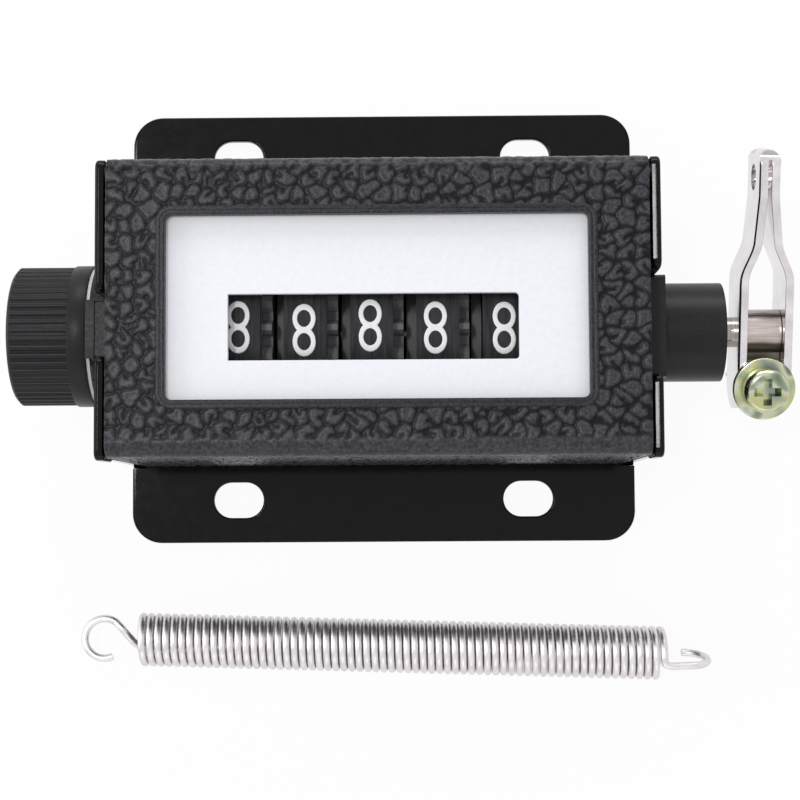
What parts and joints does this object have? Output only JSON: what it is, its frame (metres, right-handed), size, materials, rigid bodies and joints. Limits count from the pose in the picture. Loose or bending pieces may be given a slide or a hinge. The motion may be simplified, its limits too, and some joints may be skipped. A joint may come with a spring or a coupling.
{
  "type": "mechanical pull counter",
  "caption": "Pull counter with number wheels behind a dial window, a knurled reset knob, a folded pull arm clamped to its shaft, a slotted base plate and a loose tension spring.",
  "frame": {"origin": "middle of the four slots, on the back of the base plate", "axes": "+X from the reset knob towards the pull arm, +Y up the dial, +Z out of the dial"},
  "size_m": [0.1026, 0.0803, 0.0361],
  "materials": {
    "black_enamel": "gloss black stove enamel on bent sheet",
    "grained_cover": "black sheet with a raised leather grain",
    "white_dial": "satin white",
    "zinc_screw": "zinc plated",
    "plated_sheet": "plated sheet",
    "black_moulding": "satin black moulding",
    "spring_wire": "bright wire",
    "ground_steel": "ground",
    "ring_steel": "dark spring steel",
    "wheel_black": "satin black with white figures",
    "pawl_brass": "stamped",
    "pinion_ivory": "natural moulding",
    "nickel": "bright nickel plate",
    "yellow_zinc": "yellow zinc with a faint sheen of colours"
  },
  "bodies": {
    "housing": {"base_plate": "black_enamel", "front_cover": "grained_cover", "dial_plate": "white_dial", "cover_screw_a": "zinc_screw", "cover_screw_b": "zinc_screw", "cover_screw_c": "zinc_screw", "cover_screw_d": "zinc_screw", "inner_frame": "plated_sheet", "frame_rivet_a": "plated_sheet", "frame_rivet_b": "plated_sheet", "bearing_left": "black_moulding", "bearing_right": "black_moulding", "bush_cap": "black_moulding", "return_spring": "spring_wire", "pinion_shaft": "ground_steel", "pinion_ring_l": "ring_steel", "pinion_ring_r": "ring_steel", "backstop_stud": "ground_steel"},
    "reset": {"wheel_shaft": "ground_steel", "shaft_ring": "ring_steel", "reset_knob": "black_moulding", "knob_disc": "pinion_ivory"},
    "units": {"wheel_units": "wheel_black", "ratchet_wheel": "pawl_brass"},
    "tens": {"wheel_tens": "wheel_black"},
    "hundreds": {"wheel_hundreds": "wheel_black"},
    "thousands": {"wheel_thousands": "wheel_black"},
    "tenthousands": {"wheel_tenthousands": "wheel_black"},
    "pinion_a": {"carry_pinion_a": "pinion_ivory"},
    "pinion_b": {"carry_pinion_b": "pinion_ivory"},
    "pinion_c": {"carry_pinion_c": "pinion_ivory"},
    "pinion_d": {"carry_pinion_d": "pinion_ivory"},
    "lever": {"drive_shaft": "ground_steel", "drive_ring": "ring_steel", "drive_crank": "plated_sheet", "pawl_pin": "ground_steel", "pull_arm": "nickel", "arm_hub": "nickel", "clamp_screw": "yellow_zinc", "clamp_washer": "yellow_zinc", "clamp_nut": "yellow_zinc"},
    "pawl": {"drive_pawl": "pawl_brass"},
    "backstop": {"backstop_pawl": "pawl_brass"},
    "loose_spring": {"tension_spring": "nickel"}
  },
  "joints": [
    {"name": "lever_pull", "type": "hinge", "parent": "housing", "child": "lever", "pos_m": [0, -0.0028, 0.018], "axis": [1, 0, 0], "range_deg": [0, 50], "stiffness_Nm_per_rad": 0.03, "springref_deg": -17.19},
    {"name": "reset_turn", "type": "hinge", "parent": "housing", "child": "reset", "pos_m": [0, -0.0028, 0.018], "axis": [1, 0, 0], "continuous": true},
    {"name": "units_turn", "type": "hinge", "parent": "housing", "child": "units", "pos_m": [0, -0.0028, 0.018], "axis": [1, 0, 0], "continuous": true},
    {"name": "tens_turn", "type": "hinge", "parent": "housing", "child": "tens", "pos_m": [0, -0.0028, 0.018], "axis": [1, 0, 0], "continuous": true},
    {"name": "hundreds_turn", "type": "hinge", "parent": "housing", "child": "hundreds", "pos_m": [0, -0.0028, 0.018], "axis": [1, 0, 0], "continuous": true},
    {"name": "thousands_turn", "type": "hinge", "parent": "housing", "child": "thousands", "pos_m": [0, -0.0028, 0.018], "axis": [1, 0, 0], "continuous": true},
    {"name": "tenthousands_turn", "type": "hinge", "parent": "housing", "child": "tenthousands", "pos_m": [0, -0.0028, 0.018], "axis": [1, 0, 0], "continuous": true},
    {"name": "pinion_a_turn", "type": "hinge", "parent": "housing", "child": "pinion_a", "pos_m": [0, 0.00998, 0.00905], "axis": [1, 0, 0], "continuous": true},
    {"name": "pinion_b_turn", "type": "hinge", "parent": "housing", "child": "pinion_b", "pos_m": [0, 0.00998, 0.00905], "axis": [1, 0, 0], "continuous": true},
    {"name": "pinion_c_turn", "type": "hinge", "parent": "housing", "child": "pinion_c", "pos_m": [0, 0.00998, 0.00905], "axis": [1, 0, 0], "continuous": true},
    {"name": "pinion_d_turn", "type": "hinge", "parent": "housing", "child": "pinion_d", "pos_m": [0, 0.00998, 0.00905], "axis": [1, 0, 0], "continuous": true},
    {"name": "pawl_lift", "type": "hinge", "parent": "lever", "child": "pawl", "pos_m": [0, -0.00867, 0.02904], "axis": [-1, 0, 0], "range_deg": [0, 12], "stiffness_Nm_per_rad": 0.002, "springref_deg": -14.32},
    {"name": "backstop_lift", "type": "hinge", "parent": "housing", "child": "backstop", "pos_m": [0, -0.00454, 0.00562], "axis": [-1, 0, 0], "range_deg": [0, 12], "stiffness_Nm_per_rad": 0.002, "springref_deg": -14.32},
    {"name": "spring_lift", "type": "slide", "parent": "housing", "child": "loose_spring", "axis": [0, 0, 1], "range_m": [0, 0.05]}
  ],
  "couplings": [
    {"joint": "tens_turn", "follows": "units_turn", "ratio": 0.1},
    {"joint": "pinion_a_turn", "follows": "units_turn", "ratio": -0.25},
    {"joint": "hundreds_turn", "follows": "units_turn", "ratio": 0.01},
    {"joint": "pinion_b_turn", "follows": "units_turn", "ratio": -0.025},
    {"joint": "thousands_turn", "follows": "units_turn", "ratio": 0.001},
    {"joint": "pinion_c_turn", "follows": "units_turn", "ratio": -0.0025},
    {"joint": "tenthousands_turn", "follows": "units_turn", "ratio": 0.0001},
    {"joint": "pinion_d_turn", "follows": "units_turn", "ratio": -0.00025}
  ]
}
